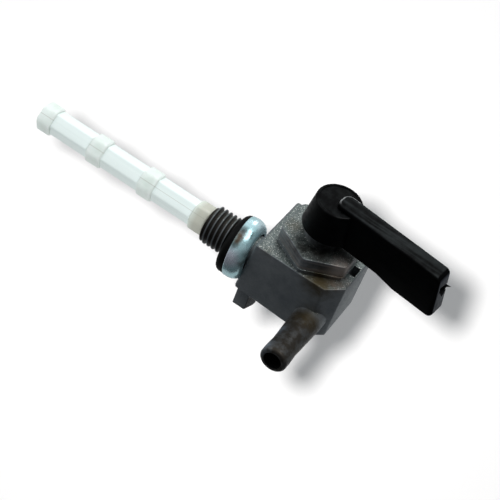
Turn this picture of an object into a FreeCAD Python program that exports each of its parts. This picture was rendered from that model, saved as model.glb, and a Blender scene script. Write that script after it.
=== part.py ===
import FreeCAD, Part
import math
import os
import Sketcher
from FreeCAD import Placement, Rotation, Vector

# Fuel tap for a small tank. Millimetres.
# The origin is on the thread's axis, in the seal's face that the tank's wall comes down on.
# +Z runs up the thread into the tank, +X out of the hose outlet, +Y out of the lever side.
# Pieces are drawn with z = 0 in the block's end face, then all lowered by the height of washer and seal.

sizes = {
    # threaded stub
    "thread_d": 12.0,
    "stub_reach": 8.3,
    "stub_chamfer": 0.6,
    "relief_depth": 0.9,
    "stub_root": 1.0,
    "stub_bore_d": 8.0,
    "stub_floor": 3.0,
    # cast block, measured from the thread's axis and the end face that backs the washer
    "front_x": 6.6,
    "back_x": 17.4,
    "floor_y": 9.4,
    "bottom_y": 9.5,
    "bottom_drop": 1.5,
    "far_strip": 2.65,
    "front_facet_x": 4.6,
    "front_facet_z": 4.6,
    "back_facet": 2.4,
    # lever axis, and the hexagonal platform and neck round it
    "hub_x": 5.9,
    "hub_z": 14.8,
    "platform_flats": 21.7,
    "platform_height": 5.6,
    "plinth_height": 1.4,
    "plinth_lip": 0.2,
    "neck_wall": 1.2,
    "neck_height": 5.4,
    # core pocket between the platform and the far wall
    "pocket_x": 4.0,
    "pocket_wall": 0.45,
    "pocket_depth": 7.0,
    # lug under the tank end
    "lug_step": 0.5,
    "lug_thick": 4.1,
    "lug_depth": 4.4,
    "lug_drop": 6.4,
    "lug_round": 1.9,
    # hose outlet
    "outlet_y": 4.8,
    "outlet_z": 22.8,
    "outlet_reach": 19.3,
    "outlet_root_d": 9.0,
    "outlet_waist_d": 7.8,
    "outlet_bead_d": 8.2,
    "outlet_bead_rise": 3.7,
    "outlet_bead_len": 3.0,
    "outlet_rim_round": 0.9,
    "outlet_bore_d": 5.4,
    "outlet_bore_depth": 18.0,
    "outlet_passage_d": 3.6,
    # ducts inside the casting
    "main_duct_d": 2.4,
    "duct_bite": 0.2,
    "reserve_duct_d": 1.8,
    "reserve_duct_x": 0.6,
    "reserve_duct_y": 2.4,
    "outlet_duct_d": 2.8,
    # bore for the rotor, with a sump below it
    "rotor_bore_d": 9.6,
    "sleeve_wall": 0.8,
    "sump_ledge": 0.5,
    "sump_margin": 0.25,
    # cup washer
    "washer_d": 19.8,
    "washer_gap": 0.2,
    "washer_height": 5.0,
    "washer_wall": 0.9,
    "washer_cone": 1.6,
    "washer_cone_height": 2.0,
    # rubber tank seal, a ring with a boss that fills the cup
    "seal_proud": 0.1,
    "seal_height": 2.9,
    "seal_round": 1.1,
    "seal_gap": 0.1,
    # strainer on the stub
    "strainer_turn": 16.2,
    "gauze_across": 8.1,
    "gauze_thick": 0.25,
    "collar_lip": 0.7,
    "collar_len": 5.3,
    "collar_bevel": 0.5,
    "window_len": 13.2,
    "rib_width": 0.96,
    "rib_depth": 0.86,
    "tip_len": 4.8,
    "tip_wall": 1.2,
    "spigot_len": 7.0,
    "spigot_gap": 0.04,
    # standpipe that feeds the main position
    "standpipe_d": 3.0,
    "standpipe_bore_d": 2.0,
    "standpipe_seat": 2.5,
    "standpipe_reach": 45.0,
    # valve rotor
    "rotor_gap": 0.05,
    "rotor_lift": 0.1,
    "port_margin": 0.7,
    "port_cap": 0.2,
    "sleeve_above": 5.2,
    "rotor_hollow_d": 4.4,
    "rotor_sunk": 0.2,
    "drive_square": 5.0,
    "seal_ring_section_d": 1.2,
    "pin_d": 1.5,
    "pin_drop": 2.4,
    "pin_bite": 0.8,
    "pin_sunk": 0.8,
    "pin_len": 14.0,
    # wave washer on the neck
    "spring_thick": 0.3,
    "spring_height": 0.8,
    "spring_rim": 0.15,
    # lever
    "lever_turn": 6.2,
    "skirt_lap": 1.6,
    "skirt_gap": 0.45,
    "skirt_wall": 1.5,
    "skirt_room": 0.3,
    "hub_height": 10.1,
    "hub_taper": 1.25,
    "hub_roof": 2.2,
    "hub_round": 0.8,
    "blade_thick": 5.9,
    "blade_rise": 1.5,
    "blade_clear": 1.45,
    "blade_step": 1.1,
    "blade_root": 1.6,
    "blade_reach": 34.5,
    "blade_slant": 3.4,
    "blade_swell_from": 18.5,
    "blade_swell_to": 24.5,
    "blade_corner": 1.6,
    "blade_edge": 0.6,
}

doc = FreeCAD.newDocument("fuel_tap")
sheet = doc.addObject("Spreadsheet::Sheet", "sizes")
for row, (name, number) in enumerate(sizes.items(), start=1):
    sheet.set(f"A{row}", name)
    sheet.set(f"B{row}", str(number))
    sheet.setAlias(f"B{row}", name)
doc.recompute()

# Sizes that follow from those on the sheet
stack = "(washer_height + seal_height)"
stub_end_z = f"({stack} + stub_reach)"
relief_d = "(thread_d - 2 * relief_depth)"
half_flats = "(platform_flats / 2)"
corner_radius = f"({half_flats} / cos(30))"
far_z = f"(hub_z + {half_flats} + far_strip)"
platform_y = "(floor_y + platform_height)"
neck_d = "(rotor_bore_d + 2 * neck_wall)"
neck_top_y = f"({platform_y} + neck_height)"
main_duct_x = "(hub_x - rotor_bore_d / 2 + duct_bite)"
reserve_duct_x = f"({main_duct_x} + reserve_duct_x)"
sleeve_foot_y = "(reserve_duct_y + reserve_duct_d / 2 + port_margin)"
sump_d = "(rotor_bore_d - 2 * sleeve_wall - 2 * sump_ledge)"
sump_floor_y = f"({sleeve_foot_y} + outlet_duct_d + 2 * sump_margin)"
barrel_d = "(rotor_bore_d - 2 * rotor_gap)"
plug_d = "(rotor_bore_d - 2 * sleeve_wall - 2 * rotor_gap)"
shoulder_y = "(main_duct_d / 2 + sleeve_above)"
half_pin_groove = "(pin_d / 2 + rotor_gap)"
pin_y = f"({platform_y} - pin_drop)"
pin_off = f"({barrel_d} / 2 - pin_bite + rotor_gap + pin_d / 2)"
pin_start_x = f"(hub_x + {corner_radius} - {pin_off} * tan(30) - pin_sunk)"
half_ring_groove = "(seal_ring_section_d / 2 + rotor_gap)"
seal_ring_y = f"(({shoulder_y} + {pin_y} - {half_pin_groove}) / 2)"
rotor_top_y = f"({neck_top_y} - rotor_sunk)"
recess_d = f"({neck_d} + 2 * skirt_gap)"
recess_top_y = f"({neck_top_y} + spring_height + skirt_room)"
hub_base_y = f"({neck_top_y} - skirt_lap)"
hub_top_y = f"({hub_base_y} + hub_height)"
hub_base_r = f"({recess_d} / 2 + skirt_wall)"
drive_top_y = f"({hub_top_y} - hub_roof)"
blade_low_y = f"({platform_y} + blade_clear)"
blade_top_y = f"({hub_top_y} + blade_rise)"
washer_bore_d = "(thread_d + 2 * washer_gap)"
seal_d = "(washer_d + 2 * seal_proud)"
seal_bore_d = "(thread_d + 2 * seal_gap)"
boss_r = "(washer_d / 2 - washer_wall - seal_gap)"
outlet_end_x = "(front_x + outlet_reach)"
bead_x = f"({outlet_end_x} - outlet_bead_len)"
gauze_inner_r = "(gauze_across / 2 - gauze_thick / cos(30))"
strainer_bore_d = f"(2 * {gauze_inner_r} - 2 * rib_depth)"
spigot_d = "(stub_bore_d - 2 * spigot_gap)"
collar_d = "(gauze_across + 2 * collar_lip)"
window_pitch = "(collar_len + window_len)"
tip_z = f"({stub_end_z} + 3 * {window_pitch})"


def with_sheet(text):
    """Expression with each size's name led by the sheet's, as other objects need it."""
    words = []
    word = ""
    for letter in text + " ":
        if letter.isalnum() or letter == "_":
            word += letter
            continue
        words.append(f"sizes.{word}" if word in sizes else word)
        words.append(letter)
        word = ""
    return "".join(words).strip()


def value(text):
    """Number that an expression on the sheet comes to."""
    result = sheet.evalExpression(text)
    return float(getattr(result, "Value", result))


def place(piece, x="0", y="0", z="0", rotation=Rotation()):
    """Set a piece at a place given by expressions."""
    piece.Placement = Placement(Vector(), rotation)
    for axis, text in zip("xyz", (x, y, z)):
        if text != "0":
            piece.setExpression(f"Placement.Base.{axis}", with_sheet(text))


along_x = Rotation(Vector(0, 1, 0), 90)
along_y = Rotation(Vector(1, 0, 0), -90)


def cylinder(name, diameter, length, x="0", y="0", z="0", rotation=Rotation()):
    rod = doc.addObject("Part::Cylinder", name)
    rod.setExpression("Radius", with_sheet(f"({diameter}) / 2"))
    rod.setExpression("Height", with_sheet(length))
    place(rod, x, y, z, rotation)
    return rod


def box(name, length, width, height, x="0", y="0", z="0"):
    block = doc.addObject("Part::Box", name)
    block.setExpression("Length", with_sheet(length))
    block.setExpression("Width", with_sheet(width))
    block.setExpression("Height", with_sheet(height))
    place(block, x, y, z)
    return block


def cut(name, base, tools):
    """Base less all the tools."""
    tool = tools[0]
    if len(tools) > 1:
        tool = fuse(name + "_tools", tools)
    result = doc.addObject("Part::Cut", name)
    result.Base = base
    result.Tool = tool
    return result


def fuse(name, pieces):
    result = doc.addObject("Part::MultiFuse", name)
    result.Shapes = pieces
    return result


def profile(body, name, plane, points, offset=("0", "0", "0")):
    """Closed sketch on an origin plane, with each corner dimensioned from the sketch's origin."""
    sketch = body.newObject("Sketcher::SketchObject", name)
    support = next(item for item in body.Origin.OriginFeatures if item.Role == plane)
    sketch.AttachmentSupport = [(support, "")]
    sketch.MapMode = "FlatFace"
    for axis, text in zip("xyz", offset):
        if text != "0":
            sketch.setExpression(f"AttachmentOffset.Base.{axis}", with_sheet(text))
    corners = [Vector(value(across), value(up), 0) for across, up in points]
    count = len(corners)
    for number in range(count):
        sketch.addGeometry(Part.LineSegment(corners[number], corners[(number + 1) % count]))
    for number in range(count):
        sketch.addConstraint(Sketcher.Constraint("Coincident", number, 2, (number + 1) % count, 1))
    for number, (across, up) in enumerate(points):
        for kind, text, start in (("DistanceX", across, corners[number].x), ("DistanceY", up, corners[number].y)):
            index = sketch.addConstraint(Sketcher.Constraint(kind, -1, 1, number, 1, start))
            sketch.setExpression(f"Constraints[{index}]", with_sheet(text))
    return sketch


def rectangle(left, low, right, high):
    return [(left, low), (right, low), (right, high), (left, high)]


def hexagon(radius, across="0", up="0", turn="0"):
    """Corners of a hexagon, the first one turned from the first axis."""
    angles = [f"({60 * step} + {turn})" for step in range(6)]
    return [(f"{across} + {radius} * cos{angle}", f"{up} + {radius} * sin{angle}") for angle in angles]


def new_body(name):
    return doc.addObject("PartDesign::Body", name)


def revolve(body, name, sketch, axis="V_Axis"):
    turned = body.newObject("PartDesign::Revolution", name)
    turned.Profile = sketch
    turned.ReferenceAxis = (sketch, [axis])
    turned.Angle = 360
    return turned


def extrude(body, kind, name, sketch, length, both_ways=False, backwards=False):
    """Pad or pocket of a sketch."""
    feature = body.newObject(f"PartDesign::{kind}", name)
    feature.Profile = sketch
    feature.setExpression("Length", with_sheet(length))
    feature.Midplane = both_ways
    feature.Reversed = backwards
    return feature


def fillet(body, name, base, size, test):
    """Round those edges of a feature whose ends and middle all pass the test."""
    doc.recompute()
    found = []
    for number, edge in enumerate(base.Shape.Edges, start=1):
        middle = (edge.FirstParameter + edge.LastParameter) / 2
        spots = [edge.valueAt(place_on_edge) for place_on_edge in (edge.FirstParameter, middle, edge.LastParameter)]
        if all(test(spot) for spot in spots):
            found.append(f"Edge{number}")
    rounded = body.newObject("PartDesign::Fillet", name)
    rounded.Base = (base, found)
    rounded.setExpression("Radius", with_sheet(size))
    body.Tip = rounded
    return rounded


def near(a, b):
    return abs(a - b) < 0.001


# Cast body: block, platform, neck, threaded stub, lug and hose outlet in one piece
casting = new_body("casting")
block_outline = profile(casting, "block_outline", "XZ_Plane", [
    ("front_x", "0"),
    ("front_x", f"-{far_z} + front_facet_z"),
    ("front_x - front_facet_x", f"-{far_z}"),
    ("-back_x + back_facet", f"-{far_z}"),
    ("-back_x", f"-{far_z} + back_facet"),
    ("-back_x", "0"),
], offset=("0", "0", "-floor_y"))
extrude(casting, "Pad", "block", block_outline, "floor_y + bottom_y + bottom_drop")

bottom_wedge = profile(casting, "bottom_wedge", "YZ_Plane", [
    ("-bottom_y", "0"),
    ("-bottom_y - bottom_drop", f"-{far_z}"),
    ("-bottom_y - 2 * bottom_drop", f"-{far_z}"),
    ("-bottom_y - 2 * bottom_drop", "0"),
])
extrude(casting, "Pocket", "sloped_bottom", bottom_wedge, "4 * back_x", both_ways=True)

# The platform stands on a low plinth, and both are trimmed flush with the block's front and back
plinth_radius = f"(({half_flats} + plinth_lip) / cos(30))"
plinth_outline = profile(casting, "plinth_outline", "XZ_Plane",
                         hexagon(plinth_radius, "-hub_x", "-hub_z"),
                         offset=("0", "0", "-floor_y - plinth_height"))
extrude(casting, "Pad", "plinth", plinth_outline, "plinth_height")
platform_outline = profile(casting, "platform_outline", "XZ_Plane",
                           hexagon(corner_radius, "-hub_x", "-hub_z"),
                           offset=("0", "0", f"-{platform_y}"))
extrude(casting, "Pad", "platform", platform_outline, "platform_height")
for name, trim_from, trim_to in (("front_trim", "front_x", "front_x + platform_flats"),
                                 ("back_trim", "-back_x - platform_flats", "-back_x")):
    trim_outline = profile(casting, name + "_outline", "XZ_Plane",
                           rectangle(trim_from, "-hub_z - platform_flats", trim_to, "-hub_z + platform_flats"),
                           offset=("0", "0", f"-{platform_y}"))
    extrude(casting, "Pocket", name, trim_outline, "platform_height", backwards=True)

neck_profile = profile(casting, "neck_profile", "XY_Plane",
                       rectangle("0", f"{platform_y} - plinth_height", f"{neck_d} / 2", neck_top_y),
                       offset=("-hub_x", "0", "-hub_z"))
revolve(casting, "neck", neck_profile)

stub_profile = profile(casting, "stub_profile", "XZ_Plane", [
    ("0", "-stub_root"),
    (f"{relief_d} / 2", "-stub_root"),
    (f"{relief_d} / 2", stack),
    ("thread_d / 2", stack),
    ("thread_d / 2", f"{stub_end_z} - stub_chamfer"),
    ("thread_d / 2 - stub_chamfer", stub_end_z),
    ("0", stub_end_z),
])
revolve(casting, "threaded_stub", stub_profile)

lug_profile = profile(casting, "lug_profile", "XY_Plane",
                      rectangle("front_x - lug_depth", "-bottom_y - lug_drop", "front_x", "-bottom_y + lug_depth"),
                      offset=("0", "0", "-lug_step"))
lug = extrude(casting, "Pad", "lug", lug_profile, "lug_thick", backwards=True)
lug_low_y = value("-bottom_y - lug_drop")
lug_back_x = value("front_x - lug_depth")
fillet(casting, "lug_rounded", lug, "lug_round",
       lambda spot: near(spot.y, lug_low_y) and near(spot.x, lug_back_x))

outlet_profile = profile(casting, "outlet_profile", "XY_Plane", [
    ("0", "0"),
    ("0", "outlet_root_d / 2"),
    ("front_x", "outlet_root_d / 2"),
    (f"{bead_x} - outlet_bead_rise", "outlet_waist_d / 2"),
    (bead_x, "outlet_bead_d / 2"),
    (outlet_end_x, "outlet_bead_d / 2"),
    (outlet_end_x, "0"),
], offset=("0", "-outlet_y", "-outlet_z"))
outlet = revolve(casting, "outlet", outlet_profile, "H_Axis")
rim_x = value(outlet_end_x)
fillet(casting, "outlet_rounded", outlet, "outlet_rim_round", lambda spot: near(spot.x, rim_x))

stub_bore = cylinder("stub_bore", "stub_bore_d", f"{stub_end_z} + stub_floor", z="-stub_floor")
standpipe_hole = cylinder("standpipe_hole", "standpipe_d", "standpipe_seat", z="-stub_floor - standpipe_seat")
main_duct = cylinder("main_duct", "main_duct_d", "hub_z + main_duct_d / 2 - stub_floor - standpipe_seat",
                     x=f"-{main_duct_x}", z="-hub_z - main_duct_d / 2")
reserve_duct = cylinder("reserve_duct", "reserve_duct_d", "hub_z + reserve_duct_d / 2 - stub_floor",
                        x=f"-{reserve_duct_x}", y="-reserve_duct_y", z="-hub_z - reserve_duct_d / 2")
rotor_bore = cylinder("rotor_bore", "rotor_bore_d", f"{neck_top_y} + {sleeve_foot_y}",
                      x="-hub_x", y=f"-{sleeve_foot_y}", z="-hub_z", rotation=along_y)
sump = cylinder("sump", sump_d, sump_floor_y, x="-hub_x", y=f"-{sump_floor_y}", z="-hub_z", rotation=along_y)
outlet_bore = cylinder("outlet_bore", "outlet_bore_d", "outlet_bore_depth",
                       x=f"{outlet_end_x} - outlet_bore_depth", y="-outlet_y", z="-outlet_z", rotation=along_x)
passage_end_x = "(hub_x + outlet_duct_d / 2 + sump_margin)"
outlet_passage = cylinder("outlet_passage", "outlet_passage_d", f"{outlet_end_x} + {passage_end_x}",
                          x=f"-{passage_end_x}", y="-outlet_y", z="-outlet_z", rotation=along_x)
outlet_duct = cylinder("outlet_duct", "outlet_duct_d", "outlet_z - hub_z", x="-hub_x",
                       y=f"-{sump_floor_y} + outlet_duct_d / 2 + sump_margin", z="-outlet_z")
core_pocket = box("core_pocket", "pocket_x", "pocket_depth + plinth_height", "far_strip - pocket_wall",
                  x="-hub_x - pocket_x / 2", y="floor_y - pocket_depth", z=f"-{far_z} + pocket_wall")
pin_hole = cylinder("pin_hole", "pin_d", "pin_len + pin_sunk + pin_d", x=f"-{pin_start_x} - pin_sunk - pin_d",
                    y=pin_y, z=f"-hub_z - {pin_off}", rotation=along_x)
tap_body = cut("tap_body", casting, [stub_bore, standpipe_hole, main_duct, reserve_duct, rotor_bore, sump,
                                     outlet_bore, outlet_passage, outlet_duct, core_pocket, pin_hole])

# Cup washer: pressed steel, seated on the block's end face, open towards the tank
washer_body = new_body("cup_washer")
cup_corner_r = "(washer_d / 2 - washer_cone)"
washer_profile = profile(washer_body, "washer_profile", "XZ_Plane", [
    (f"{washer_bore_d} / 2", "0"),
    (cup_corner_r, "0"),
    ("washer_d / 2", "washer_cone_height"),
    ("washer_d / 2", "washer_height"),
    ("washer_d / 2 - washer_wall", "washer_height"),
    ("washer_d / 2 - washer_wall", "washer_cone_height + washer_wall / 2"),
    (f"{cup_corner_r} - washer_wall / 2", "washer_wall"),
    (f"{washer_bore_d} / 2", "washer_wall"),
])
revolve(washer_body, "washer_shape", washer_profile)

# Rubber seal: its boss fills the cup, and its ring stands proud for the tank's wall
seal_body = new_body("seal_ring")
seal_profile = profile(seal_body, "seal_profile", "XZ_Plane", [
    (f"{seal_bore_d} / 2", "washer_wall"),
    (f"{cup_corner_r} - washer_wall / 2 - seal_gap", "washer_wall"),
    (boss_r, "washer_cone_height + washer_wall / 2"),
    (boss_r, "washer_height"),
    (f"{seal_d} / 2", "washer_height"),
    (f"{seal_d} / 2", stack),
    (f"{seal_bore_d} / 2", stack),
])
seal_shape = revolve(seal_body, "seal_shape", seal_profile)
seal_top_z = value(stack)
seal_r = value(f"{seal_d} / 2")
fillet(seal_body, "seal_rounded", seal_shape, "seal_round",
       lambda spot: near(spot.z, seal_top_z) and near(math.hypot(spot.x, spot.y), seal_r))

# Strainer: nylon core with six ribs and four collars, closed at its tip
core = new_body("strainer_core")
core_outline = profile(core, "core_outline", "XY_Plane", hexagon(gauze_inner_r, turn="strainer_turn"),
                       offset=("0", "0", stub_end_z))
extrude(core, "Pad", "core_tube", core_outline, f"3 * {window_pitch} + tip_len / 2")
for step in range(4):
    base_z = f"({stub_end_z} + {step} * {window_pitch})"
    collar_high = f"({base_z} + {'tip_len' if step == 3 else 'collar_len'})"
    collar_profile = profile(core, f"collar_profile_{step}", "XZ_Plane", [
        ("0", base_z),
        (f"{collar_d} / 2 - collar_bevel / 2", base_z),
        (f"{collar_d} / 2", f"{base_z} + collar_bevel"),
        (f"{collar_d} / 2", f"{collar_high} - collar_bevel"),
        (f"{collar_d} / 2 - collar_bevel / 2", collar_high),
        ("0", collar_high),
    ])
    revolve(core, f"collar_{step}", collar_profile)
spigot_low = f"({stub_end_z} - spigot_len)"
spigot_profile = profile(core, "spigot_profile", "XZ_Plane", [
    ("0", spigot_low),
    (f"{spigot_d} / 2 - collar_bevel", spigot_low),
    (f"{spigot_d} / 2", f"{spigot_low} + collar_bevel"),
    (f"{spigot_d} / 2", f"{stub_end_z} + collar_bevel"),
    ("0", f"{stub_end_z} + collar_bevel"),
])
revolve(core, "spigot", spigot_profile)

strainer_bore = cylinder("strainer_bore", strainer_bore_d, f"{tip_z} + tip_len - tip_wall - {spigot_low}", z=spigot_low)
windows = []
for row in range(3):
    for side in range(3):
        window = box(f"window_{row}_{side}", f"2 * {collar_d}", f"{gauze_inner_r} - rib_width", "window_len")
        turn = Rotation(Vector(0, 0, 1), value("strainer_turn") + 30 + 60 * side)
        corner = turn.multVec(Vector(value(f"-{collar_d}"), value(f"(rib_width - {gauze_inner_r}) / 2"), 0))
        window.Placement = Placement(corner, turn)
        window.setExpression("Placement.Base.z", with_sheet(f"{stub_end_z} + collar_len + {row} * {window_pitch}"))
        windows.append(window)
strainer_frame = cut("strainer_frame", core, [strainer_bore] + windows)

# Gauze: one fine six-sided sleeve moulded in between each two collars
gauzes = {}
for row, name in enumerate(("strainer_gauze_lower", "strainer_gauze_middle", "strainer_gauze_upper")):
    start_z = f"{stub_end_z} + collar_len + {row} * {window_pitch}"
    gauze = new_body(f"gauze_{row}")
    outer = profile(gauze, f"gauze_outline_{row}", "XY_Plane",
                    hexagon("gauze_across / 2", turn="strainer_turn"), offset=("0", "0", start_z))
    extrude(gauze, "Pad", f"gauze_solid_{row}", outer, "window_len")
    inner = profile(gauze, f"gauze_inside_{row}", "XY_Plane",
                    hexagon(gauze_inner_r, turn="strainer_turn"), offset=("0", "0", start_z))
    extrude(gauze, "Pocket", f"gauze_hollow_{row}", inner, "2 * window_len", both_ways=True)
    gauzes[name] = gauze

# Standpipe in the stub's floor, open at the main fuel level
pipe_body = new_body("pipe")
pipe_profile = profile(pipe_body, "pipe_profile", "XZ_Plane",
                       rectangle("standpipe_bore_d / 2", "-stub_floor - standpipe_seat",
                                 "standpipe_d / 2", "standpipe_reach"))
revolve(pipe_body, "pipe_shape", pipe_profile)

# The lever and the rotor are drawn with the blade along local +X and the hub's axis along local +Z.
# The blade then hangs down, turned towards the outlet.
hang = Rotation(Vector(0, 0, -1), Vector(-1, 0, 0), Vector(0, 1, 0), "ZXY")
lever_rotation = Rotation(Vector(0, 1, 0), -value("lever_turn")) * hang

# Valve rotor: a barrel in the body's bore, with its ports inside the rubber port sleeve
ring_floor_r = f"({barrel_d} / 2 - seal_ring_section_d)"
pin_floor_r = f"({barrel_d} / 2 - pin_bite)"
rotor_foot_y = f"({sleeve_foot_y} - rotor_lift)"
rotor_turned = new_body("rotor_turned")
rotor_profile = profile(rotor_turned, "rotor_profile", "XZ_Plane", [
    ("0", f"-{rotor_foot_y}"),
    (f"{plug_d} / 2", f"-{rotor_foot_y}"),
    (f"{plug_d} / 2", shoulder_y),
    (f"{barrel_d} / 2", shoulder_y),
    (f"{barrel_d} / 2", f"{seal_ring_y} - {half_ring_groove}"),
    (ring_floor_r, f"{seal_ring_y} - {half_ring_groove}"),
    (ring_floor_r, f"{seal_ring_y} + {half_ring_groove}"),
    (f"{barrel_d} / 2", f"{seal_ring_y} + {half_ring_groove}"),
    (f"{barrel_d} / 2", f"{pin_y} - {half_pin_groove}"),
    (pin_floor_r, f"{pin_y} - {half_pin_groove}"),
    (pin_floor_r, f"{pin_y} + {half_pin_groove}"),
    (f"{barrel_d} / 2", f"{pin_y} + {half_pin_groove}"),
    (f"{barrel_d} / 2", rotor_top_y),
    ("0", rotor_top_y),
])
revolve(rotor_turned, "rotor_barrel", rotor_profile)
drive = box("rotor_drive", "drive_square", "drive_square", f"{drive_top_y} - {rotor_top_y} + rotor_sunk",
            x="-drive_square / 2", y="-drive_square / 2", z=f"{rotor_top_y} - rotor_sunk")
rotor_whole = fuse("rotor_whole", [rotor_turned, drive])
rotor_hollow = cylinder("rotor_hollow", "rotor_hollow_d", f"{rotor_foot_y} + main_duct_d / 2 + port_cap",
                        z=f"-{rotor_foot_y}")
main_port = cylinder("main_port", "main_duct_d", "rotor_bore_d", y="0", rotation=Rotation(Vector(1, 0, 0), 90))
reserve_port = cylinder("reserve_port", "reserve_duct_d", "rotor_bore_d", x="-rotor_bore_d",
                        z="-reserve_duct_y", rotation=along_x)
valve_rotor = cut("valve_rotor", rotor_whole, [rotor_hollow, main_port, reserve_port])

# Port sleeve: rubber, still in the bore, with a window at each inlet
sleeve_outer = cylinder("sleeve_outer", "rotor_bore_d", f"{sleeve_foot_y} + {shoulder_y} - rotor_gap",
                        x="-hub_x", y=f"-{sleeve_foot_y}", z="-hub_z", rotation=along_y)
sleeve_inner = cylinder("sleeve_inner", "rotor_bore_d - 2 * sleeve_wall", f"{sleeve_foot_y} + {shoulder_y}",
                        x="-hub_x", y=f"-{sleeve_foot_y}", z="-hub_z", rotation=along_y)
port_sleeve = cut("port_sleeve", sleeve_outer, [sleeve_inner, main_duct, reserve_duct])

# Rubber ring in the rotor's upper groove
rotor_seal_ring = doc.addObject("Part::Torus", "rotor_seal_ring")
rotor_seal_ring.setExpression("Radius1", with_sheet(f"({barrel_d} - seal_ring_section_d) / 2"))
rotor_seal_ring.setExpression("Radius2", with_sheet("seal_ring_section_d / 2"))

# Retaining pin, driven across the platform through the rotor's lower groove
retaining_pin = cylinder("retaining_pin", "pin_d", "pin_len")

# Wave washer: a thin ring bent into three waves, on top of the neck
spring_washer = doc.addObject("Part::Feature", "spring_washer")
wave = value("(spring_height - spring_thick) / 2")
wave_points = 36
rims = []
for radius in (value("rotor_bore_d / 2 + spring_rim"), value(f"{neck_d} / 2 - spring_rim")):
    points = []
    for step in range(wave_points):
        turn = 2 * math.pi * step / wave_points
        points.append(Vector(radius * math.cos(turn), wave + wave * math.cos(3 * turn), radius * math.sin(turn)))
    rim = Part.BSplineCurve()
    rim.interpolate(points, PeriodicFlag=True)
    rims.append(rim.toShape())
spring_washer.Shape = Part.makeRuledSurface(*rims).extrude(Vector(0, value("spring_thick"), 0))

# Lever: hub and blade moulded in one
lever = new_body("lever_moulding")
hub_profile = profile(lever, "hub_profile", "XZ_Plane", [
    ("0", hub_base_y),
    (hub_base_r, hub_base_y),
    (f"{hub_base_r} - hub_taper", hub_top_y),
    ("0", hub_top_y),
])
hub = revolve(lever, "hub", hub_profile)
hub_top = value(hub_top_y)
fillet(lever, "hub_rounded", hub, "hub_round", lambda spot: near(spot.z, hub_top))
blade_profile = profile(lever, "blade_profile", "XZ_Plane", [
    ("blade_root", f"{blade_low_y} + blade_step"),
    ("blade_swell_from", f"{blade_low_y} + blade_step"),
    ("blade_swell_to", blade_low_y),
    ("blade_reach + blade_slant", blade_low_y),
    ("blade_reach", blade_top_y),
    ("blade_root", blade_top_y),
])
blade = extrude(lever, "Pad", "blade", blade_profile, "blade_thick", both_ways=True)
blade_low = value(blade_low_y)
blade_end = value("blade_reach + blade_slant")
blade_cornered = fillet(lever, "blade_cornered", blade, "blade_corner",
                        lambda spot: near(spot.z, blade_low) and near(spot.x, blade_end))
blade_top = value(blade_top_y)
blade_root = value("blade_root")
fillet(lever, "blade_rooted", blade_cornered, "blade_edge",
       lambda spot: near(spot.z, blade_top) and near(spot.x, blade_root))
recess_profile = profile(lever, "recess_profile", "XZ_Plane",
                         rectangle("0", f"{blade_low_y} - blade_clear", f"{recess_d} / 2", recess_top_y))
recess = lever.newObject("PartDesign::Groove", "recess")
recess.Profile = recess_profile
recess.ReferenceAxis = (recess_profile, ["V_Axis"])
recess.Angle = 360
drive_socket = box("drive_socket", "drive_square", "drive_square", f"{drive_top_y} - {blade_low_y}",
                   x="-drive_square / 2", y="-drive_square / 2", z=blade_low_y)
lever_handle = cut("lever_handle", lever, [drive_socket])

# Each piece at its place, lowered so that the seal's face is at the origin
for piece in (tap_body, washer_body, seal_body, strainer_frame, pipe_body, port_sleeve, *gauzes.values()):
    place(piece, z=f"-{stack}")
for piece in (lever_handle, valve_rotor):
    place(piece, x="-hub_x", z=f"-hub_z - {stack}", rotation=lever_rotation)
place(rotor_seal_ring, x="-hub_x", y=seal_ring_y, z=f"-hub_z - {stack}", rotation=lever_rotation)
place(retaining_pin, x=f"-{pin_start_x}", y=pin_y, z=f"-hub_z - {pin_off} - {stack}", rotation=along_x)
place(spring_washer, x="-hub_x", y=f"{neck_top_y} + rotor_gap", z=f"-hub_z - {stack}")

doc.recompute()

nodes = {
    "tap_body": tap_body,
    "seal_cup_washer": washer_body,
    "tank_seal_ring": seal_body,
    "strainer_frame": strainer_frame,
    "standpipe": pipe_body,
    "valve_rotor": valve_rotor,
    "port_sleeve": port_sleeve,
    "rotor_seal_ring": rotor_seal_ring,
    "retaining_pin": retaining_pin,
    "spring_washer": spring_washer,
    "lever_handle": lever_handle,
}
nodes.update(gauzes)

for item in doc.Objects:
    if "Invalid" in item.State or "Error" in item.State:
        raise RuntimeError(f"{item.Name} failed: {item.State}")
for name, item in nodes.items():
    item.Label = name
    if item.Shape.isNull() or not item.Shape.isValid():
        raise RuntimeError(f"{name} has no valid shape")
os.makedirs("parts", exist_ok=True)
for item in nodes.values():
    bounds = item.Shape.BoundBox
    print(f"{item.Label}: {len(item.Shape.Solids)} solid, {item.Shape.Volume:.1f} mm3, "
          f"x {bounds.XMin:.2f} {bounds.XMax:.2f}, y {bounds.YMin:.2f} {bounds.YMax:.2f}, "
          f"z {bounds.ZMin:.2f} {bounds.ZMax:.2f}")
    item.Shape.exportStep(f"parts/{item.Label}.step")
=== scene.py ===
import math
import bmesh
import bpy
from mathutils import Matrix, Vector


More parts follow.
